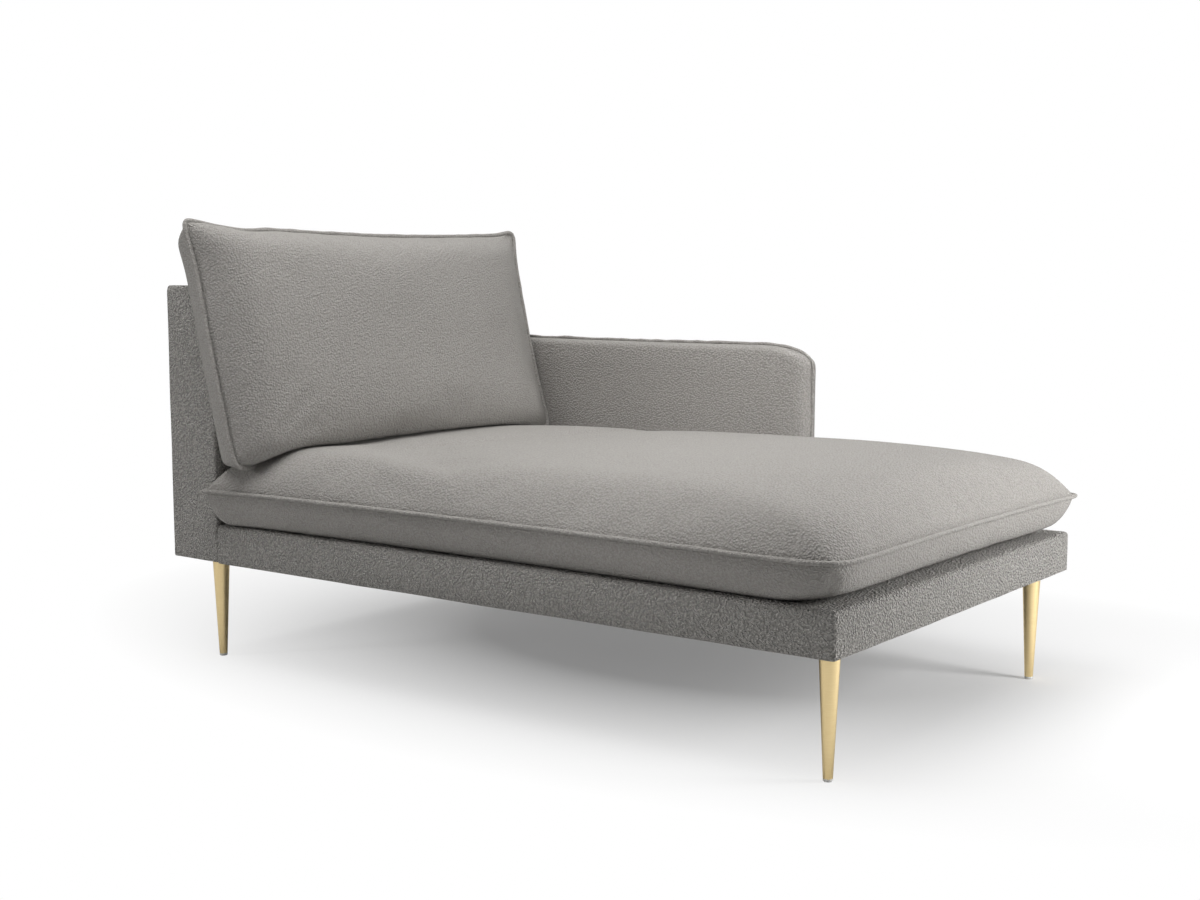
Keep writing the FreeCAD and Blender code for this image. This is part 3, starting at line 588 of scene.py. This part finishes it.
def piping(name, path, outward, width, height, pucker, seed, material):
    """A corded strip of the cloth sewn round a seam: a closed tube that stands out of it and puckers a little."""
    turns = [2 * math.pi * k / PIPING_SIDES for k in range(PIPING_SIDES)]
    count = len(path)
    points, faces = [], []
    for n in range(count):
        along = path[(n + 1) % count] - path[n - 1]
        along = along / np.linalg.norm(along)
        out = outward[n] - along * np.dot(outward[n], along)
        out = out / np.linalg.norm(out)
        over = np.cross(along, out)
        size = 1 + 0.10 * wavering(path[n], 0.03, seed)
        proud = width * 0.25 + pucker * wavering(path[n], 0.03, seed + 8)
        centre = path[n] + out * proud + over * 0.0006 * wavering(path[n], 0.05, seed + 4)
        for turn in turns:
            points.append(centre + size * (out * width / 2 * math.cos(turn) + over * height / 2 * math.sin(turn)))
    for n in range(count):
        here, there = n * PIPING_SIDES, (n + 1) % count * PIPING_SIDES
        for k in range(PIPING_SIDES):
            after = (k + 1) % PIPING_SIDES
            faces.append((here + k, here + after, there + after, there + k))
    return new_piece(name, points, faces, material)


def smoothed(piece):
    """One level of subdivision over the simulated cloth."""
    finer = piece.modifiers.new("finer", "SUBSURF")
    finer.levels = 1
    finer.render_levels = 1


def flat_outward(points, seam):
    """Directions out of a flat seam, square to its run."""
    path = points[seam]
    along = np.roll(path, -1, axis=0) - np.roll(path, 1, axis=0)
    out = np.stack([along[:, 1], -along[:, 0], np.zeros(len(path))], axis=1)
    return out / np.linalg.norm(out, axis=1, keepdims=True)


WELT = 0.005
ARM_SEAM_DROP = 0.008

arm_low, arm_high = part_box("arm_welt")
arm_inner, arm_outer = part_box("arm_cover_inner")[0].x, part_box("arm_cover_outer")[1].x
arm_plane = (arm_low.x + arm_high.x) / 2
arm_points, arm_faces, arm_seam = stuffed_form(
    sides=(arm_low.y + WELT, arm_high.y - WELT, arm_low.z + WELT, arm_high.z - ARM_SEAM_DROP),
    reaches=(0.03, 0.03, 0.04, 0.125),
    squares=(2.0,) * 4,
    eases=(1, 0.4, 0.3, 0.35),
    slopes=(1,) * 4,
    bows=(0.002,) * 4,
    front=Crown(arm_outer - arm_plane, run=0.13, share=1.0, long_run=0.13),
    rear=Crown(arm_plane - arm_inner, run=0.03, share=1.0, long_run=0.03),
    step=0.014,
)


def arm_place(flat):
    """From the drawn slab (along Y, up Z, towards the outer face) to the sofa."""
    return np.stack([arm_plane + flat[:, 2], flat[:, 0], flat[:, 1]], axis=1)


arm_upholstery = new_piece("arm_upholstery", arm_place(arm_points), arm_faces, boucle)
puffed(arm_upholstery, arm_seam, pressure=0.05, slack=0.0, most=0.003)
smoothed(arm_upholstery)
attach(arm_upholstery, "frame")
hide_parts("arm_cover_inner", "arm_cover_outer", "arm_inner_foam", "arm_outer_foam")
arm_outward = flat_outward(arm_points, arm_seam)
arm_outward = np.stack([arm_outward[:, 2], arm_outward[:, 0], arm_outward[:, 1]], axis=1)
arm_piping = piping(
    "arm_piping",
    arm_place(arm_points)[arm_seam],
    arm_outward,
    width=0.007,
    height=0.006,
    pucker=0.002,
    seed=3.0,
    material=boucle,
)
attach(arm_piping, "frame")
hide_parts("arm_welt")


# Seat cushion: a deep loose cushion of foam wrapped in wadding, in two panels of the cloth with a piped seam between.
# The upper panel crowns over the whole seat, the lower one bellies out and tucks in where it lies on the base.
def creased(points, lines):
    """Draw soft creases into the front of a flat form: each from (a, b) to (a, b), with a width and a depth."""
    for a0, b0, a1, b1, width, depth in lines:
        start, run = np.array([a0, b0]), np.array([a1 - a0, b1 - b0])
        share = np.clip((points[:, :2] - start) @ run / (run @ run), 0, 1)
        apart = np.linalg.norm(points[:, :2] - start - share[:, None] * run, axis=1) / width
        fade = np.sin(np.pi * np.clip(share, 0.02, 0.98)) ** 0.7
        points[:, 2] -= np.where(points[:, 2] > 0, depth * fade * (1 - 1.2 * apart**2) * np.exp(-(apart**2)), 0)


def near(points, a, b, reach_a, reach_b):
    """1 at a place of a flat form, falling away smoothly over these reaches."""
    return np.exp(-(((points[:, 0] - a) / reach_a) ** 2) - ((points[:, 1] - b) / reach_b) ** 2)


WELT_WIDTH = 0.010
WELT_HEIGHT = 0.008
SEAT_SINK = 0.013
HEAD_DROP = 0.25
FOOT_TUCK = 0.25
FOOT_TUCK_RUN = 0.12
SHOULDER = 0.016

seat_low, seat_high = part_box("seat_welt")
seat_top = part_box("seat_cover_top")[1].z
seat_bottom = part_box("seat_cover_bottom")[0].z
seat_seam_level = (seat_low.z + seat_high.z) / 2
seat_left, seat_right, seat_foot, seat_head = (
    seat_low.x + WELT, seat_high.x - WELT, seat_low.y + WELT, seat_high.y - WELT
)
seat_points, seat_faces, seat_seam = stuffed_form(
    sides=(seat_left, seat_right, seat_foot, seat_head),
    reaches=(0.34,) * 4,
    squares=(9, 30, 40, 70),
    eases=(0.9, 0.95, 0.8, 0.35),
    slopes=(1,) * 4,
    bows=(0.018, 0.006, 0.014, 0.006),
    front=Crown(seat_top - seat_seam_level - SEAT_SINK, run=0.10, share=0.64, long_run=0.46),
    rear=Crown(seat_seam_level - seat_bottom, run=0.05, share=1.0, long_run=0.05),
    step=0.014,
    calm=7,
)
upper = seat_points[:, 2] > 0
toward_head = (seat_points[:, 1] - seat_foot) / (seat_head - seat_foot)
toward_foot = np.clip(1 - (seat_points[:, 1] - seat_foot) / FOOT_TUCK_RUN, 0, 1)
seat_points[:, 2] *= np.where(upper, 1 - HEAD_DROP * toward_head**2, 1 - FOOT_TUCK * toward_foot)
creased(seat_points, [(-0.32, 0.31, 0.08, 0.25, 0.022, 0.0022), (-0.12, 0.22, 0.26, 0.20, 0.025, 0.002)])
seat_points[:, 2] += np.where(upper, SHOULDER * near(seat_points, -0.44, 0.45, 0.10, 0.22), 0)
ear = near(seat_points, seat_left, seat_head, 0.06, 0.06)
seat_points[:, 0] -= 0.010 * ear
seat_points[:, 1] += 0.003 * ear
seat_points[:, 2] += seat_seam_level
seat_resting = np.nonzero(seat_points[:, 2] < seat_bottom + 0.002)[0]
seat_cushion = new_piece("seat_cushion", seat_points, seat_faces, boucle)
puffed(seat_cushion, np.concatenate([seat_seam, seat_resting]), pressure=0.1, slack=0.003, most=0.02)
smoothed(seat_cushion)
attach(seat_cushion, "seat_cushion")
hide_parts("seat_cover_top", "seat_cover_bottom", "seat_wadding", "seat_core")
seat_piping = piping(
    "seat_piping",
    seat_points[seat_seam],
    flat_outward(seat_points, seat_seam),
    WELT_WIDTH,
    WELT_HEIGHT,
    pucker=0.0008,
    seed=5.0,
    material=boucle,
)
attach(seat_piping, "seat_cushion")
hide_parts("seat_welt")


# Back cushion: a loose, softer cushion that stands on the seat and leans on the panel. Two panels of the cloth with
# a piped seam, ears at its corners, and a lower front that sags on to the seat's crown.
LEAN = math.radians(14.0)
BACK_HEIGHT_SHARE = 0.99
BACK_SLANT = 0.026
REST_GAP = 0.002
REST_ORDER = 0.015

back_low, back_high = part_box("back_cushion_welt")
back_left, back_right = back_low.x + WELT, back_high.x - WELT
back_foot = back_low.z + WELT
back_foot_y = back_low.y + WELT / 2
back_height = (back_high.z - back_low.z) / math.cos(LEAN) - 2 * WELT
back_points, back_faces, back_seam = stuffed_form(
    sides=(back_left, back_right, 0.0, back_height),
    reaches=(0.17,) * 4,
    squares=(12, 12, 30, 30),
    eases=(1, 3.5, 0.4, 0.9),
    slopes=(1, 2, 1, 1),
    bows=(-0.006, 0.011, -0.004, 0.016),
    front=Crown(0.104, run=0.075, share=0.6, long_run=0.26),
    rear=Crown(0.07, run=0.04, share=1.0, long_run=0.04),
    step=0.013,
    calm=2,
)
corner_folds = [
    (-0.505, 0.03, -0.41, 0.125, 0.011, 0.0045),
    (-0.48, 0.03, -0.36, 0.085, 0.010, 0.004),
    (-0.512, 0.06, -0.46, 0.16, 0.010, 0.0035),
    (-0.44, 0.04, -0.33, 0.065, 0.009, 0.003),
]
foot_puckers = [
    (-0.03, 0.04, -0.04, 0.12, 0.009, 0.0035),
    (0.015, 0.04, 0.02, 0.11, 0.009, 0.0035),
    (0.07, 0.05, 0.085, 0.12, 0.009, 0.003),
    (0.30, 0.06, 0.36, 0.15, 0.012, 0.003),
]
ear_folds = [
    (0.415, 0.485, 0.37, 0.455, 0.008, 0.005),
    (0.42, 0.47, 0.40, 0.41, 0.008, 0.005),
    (0.425, 0.43, 0.395, 0.38, 0.008, 0.004),
]
top_puckers = [
    (a, 0.485, a + 0.01, 0.43, 0.009, 0.0025) for a in (-0.49, -0.45, -0.41, -0.33, -0.2, -0.06, 0.12, 0.27, 0.36)
]
creased(back_points, corner_folds + foot_puckers + ear_folds + top_puckers)
for a, reach, out, up in (
    (back_left, 0.06, -0.012, 0.003),
    (back_left + 0.11, 0.08, 0.0, -0.008),
    (back_right, 0.035, 0.008, 0.010),
):
    ear = near(back_points, a, back_height, reach, reach)
    back_points[:, 0] += out * ear
    back_points[:, 1] += up * ear
toward_arm = (back_points[:, 0] - back_left) / (back_right - back_left)
back_points[:, 1] *= BACK_HEIGHT_SHARE - BACK_SLANT * toward_arm


def back_place(flat):
    """From the drawn cushion (across, up its lean, forward) to the sofa."""
    y = back_foot_y + flat[:, 1] * math.sin(LEAN) - flat[:, 2] * math.cos(LEAN)
    z = back_foot + flat[:, 1] * math.cos(LEAN) + flat[:, 2] * math.sin(LEAN)
    return np.stack([flat[:, 0], y, z], axis=1)


def clear_of_panel(points, gap):
    """Push points out of the back panel, by the nearest of its front, top and open side."""
    front, top, side = panel_low.y - gap, panel_high.z + gap, panel_low.x - gap
    depths = np.stack([points[:, 1] - front, top - points[:, 2], points[:, 0] - side], axis=1)
    inside = (depths > 0).all(axis=1)
    least = depths.argmin(axis=1)
    points = points.copy()
    points[inside & (least == 0), 1] = front
    points[inside & (least == 1), 2] = top
    points[inside & (least == 2), 0] = side
    return points


def clear_of_seat(points, gap):
    """Lift points that lie in the seat cushion on to its crown, those from deeper down a little less far."""
    crown = BVHTree.FromObject(seat_cushion, bpy.context.evaluated_depsgraph_get())
    points = points.copy()
    for n, point in enumerate(points):
        place = crown.ray_cast(Vector((point[0], point[1], panel_high.z)), Vector((0, 0, -1)))[0]
        if place is not None:
            points[n, 2] = max(point[2], place.z + gap - REST_ORDER * (place.z - point[2]))
    return points


def settled(piece):
    """Rest a cushion on the seat and against the back panel, and give its points there."""
    points = np.array([v.co for v in piece.data.vertices])
    points = clear_of_seat(clear_of_panel(points, REST_GAP), REST_GAP)
    piece.data.vertices.foreach_set("co", points.ravel())
    piece.data.update()
    return points


back_cushion = new_piece("back_cushion", back_place(back_points), back_faces, boucle)
puffed(back_cushion, back_seam, pressure=0.12, slack=0.004, most=0.02)
back_settled = settled(back_cushion)
smoothed(back_cushion)
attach(back_cushion, "back_cushion")
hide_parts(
    "back_cushion_cover_front", "back_cushion_cover_rear", "back_cushion_wadding", "back_cushion_core"
)
back_outward = flat_outward(back_points, back_seam)
back_outward = np.stack(
    [back_outward[:, 0], back_outward[:, 1] * math.sin(LEAN), back_outward[:, 1] * math.cos(LEAN)], axis=1
)
back_piping = piping(
    "back_piping",
    back_settled[back_seam],
    back_outward,
    WELT_WIDTH,
    WELT_HEIGHT,
    pucker=0.0012,
    seed=7.0,
    material=boucle,
)
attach(back_piping, "back_cushion")
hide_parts("back_cushion_welt")


# Studio: a plain pale floor that runs out to white, soft light from above and from both ends, a narrow lamp on the
# arm's inner side, and the camera at the photograph's own place.
def white_floor():
    material = bpy.data.materials.new("studio_floor")
    material.use_nodes = True
    tree = material.node_tree
    tree.nodes.clear()
    out = tree.nodes.new("ShaderNodeOutputMaterial")
    matte = tree.nodes.new("ShaderNodeBsdfDiffuse")
    matte.inputs["Color"].default_value = (0.66, 0.66, 0.66, 1)
    # Painted light: for the camera the floor also glows white. The glow's share grows from 0.22 within 0.35 m of a
    # spot off the sofa's middle to all of it from 1 m out, so the real shadow under the sofa is lightened and set
    # where it shows.
    painted_glow = tree.nodes.new("ShaderNodeEmission")
    painted_glow.inputs["Strength"].default_value = 1.0
    place = tree.nodes.new("ShaderNodeTexCoord")
    centre = tree.nodes.new("ShaderNodeMapping")
    centre.inputs["Location"].default_value = (-0.26, 0.03, 0.0)
    centre.inputs["Scale"].default_value = (1.0, 0.6, 1.0)
    far = tree.nodes.new("ShaderNodeVectorMath")
    far.operation = "LENGTH"
    edge = tree.nodes.new("ShaderNodeMapRange")
    edge.inputs["From Min"].default_value = 0.35
    edge.inputs["From Max"].default_value = 1.0
    edge.inputs["To Min"].default_value = 0.22
    seen = tree.nodes.new("ShaderNodeLightPath")
    both = tree.nodes.new("ShaderNodeMath")
    both.operation = "MULTIPLY"
    mix = tree.nodes.new("ShaderNodeMixShader")
    links = tree.links
    links.new(place.outputs["Object"], centre.inputs["Vector"])
    links.new(centre.outputs["Vector"], far.inputs[0])
    links.new(far.outputs["Value"], edge.inputs["Value"])
    links.new(edge.outputs["Result"], both.inputs[0])
    links.new(seen.outputs["Is Camera Ray"], both.inputs[1])
    links.new(both.outputs["Value"], mix.inputs["Fac"])
    links.new(matte.outputs["BSDF"], mix.inputs[1])
    links.new(painted_glow.outputs["Emission"], mix.inputs[2])
    links.new(mix.outputs["Shader"], out.inputs["Surface"])
    mesh = bpy.data.meshes.new("floor")
    mesh.from_pydata([(-8, -8, 0), (8, -8, 0), (8, 8, 0), (-8, 8, 0)], [], [(0, 1, 2, 3)])
    mesh.materials.append(material)
    floor = bpy.data.objects.new("floor", mesh)
    bpy.context.scene.collection.objects.link(floor)


def white_world(ambient):
    world = bpy.data.worlds.new("studio")
    bpy.context.scene.world = world
    world.use_nodes = True
    tree = world.node_tree
    background = tree.nodes["Background"]
    background.inputs["Color"].default_value = (1, 1, 1, 1)
    seen = tree.nodes.new("ShaderNodeLightPath")
    direct = tree.nodes.new("ShaderNodeMath")
    direct.operation = "MAXIMUM"
    shown = tree.nodes.new("ShaderNodeMath")
    shown.operation = "MAXIMUM"
    level = tree.nodes.new("ShaderNodeMapRange")
    level.inputs["To Min"].default_value = ambient
    level.inputs["To Max"].default_value = 1.0
    tree.links.new(seen.outputs["Is Camera Ray"], direct.inputs[0])
    tree.links.new(seen.outputs["Is Glossy Ray"], direct.inputs[1])
    tree.links.new(direct.outputs["Value"], shown.inputs[0])
    tree.links.new(seen.outputs["Is Transmission Ray"], shown.inputs[1])
    tree.links.new(shown.outputs["Value"], level.inputs["Value"])
    tree.links.new(level.outputs["Result"], background.inputs["Strength"])


def soft_lamp(name, location, target, size, power, spread=180.0):
    data = bpy.data.lights.new(name, "AREA")
    data.shape = "DISK"
    data.size = size
    data.spread = math.radians(spread)
    data.energy = power
    lamp = bpy.data.objects.new(name, data)
    lamp.location = location
    lamp.rotation_euler = (Vector(target) - Vector(location)).to_track_quat("-Z", "Y").to_euler()
    bpy.context.scene.collection.objects.link(lamp)


white_floor()
white_world(0.04)
soft_lamp("overhead", (0.0, 0.0, 4.5), (0.0, 0.0, 0.4), size=5.0, power=95.0)
soft_lamp("high_left", (-0.9, 0.2, 2.6), (0.4, 0.2, 0.45), size=2.0, power=36.0)
soft_lamp("high_right", (2.5, 0.0, 4.0), (0.0, 0.0, 0.4), size=4.0, power=45.0)
soft_lamp("foot_end", (0.5, -1.9, 0.8), (0.1, -0.7, 0.3), size=0.6, power=23.0)
soft_lamp("rear_left", (-2.4, 2.2, 1.1), (-0.4, 0.6, 0.3), size=0.5, power=17.0)
soft_lamp("arm_side", (-1.9, -0.8, 1.3), (0.45, -0.12, 0.54), size=0.6, power=0.95, spread=30.0)

camera_data = bpy.data.cameras.new("camera")
camera_data.sensor_width = 36.0
camera_data.lens = 49.66
camera = bpy.data.objects.new("camera", camera_data)
camera.location = (-2.6578, -1.9103, 0.7987)
camera.rotation_euler = (math.radians(90.0 - 6.377), 0.0, math.radians(-53.39))
bpy.context.scene.collection.objects.link(camera)
bpy.context.scene.camera = camera
bpy.context.scene.view_settings.view_transform = "Standard"
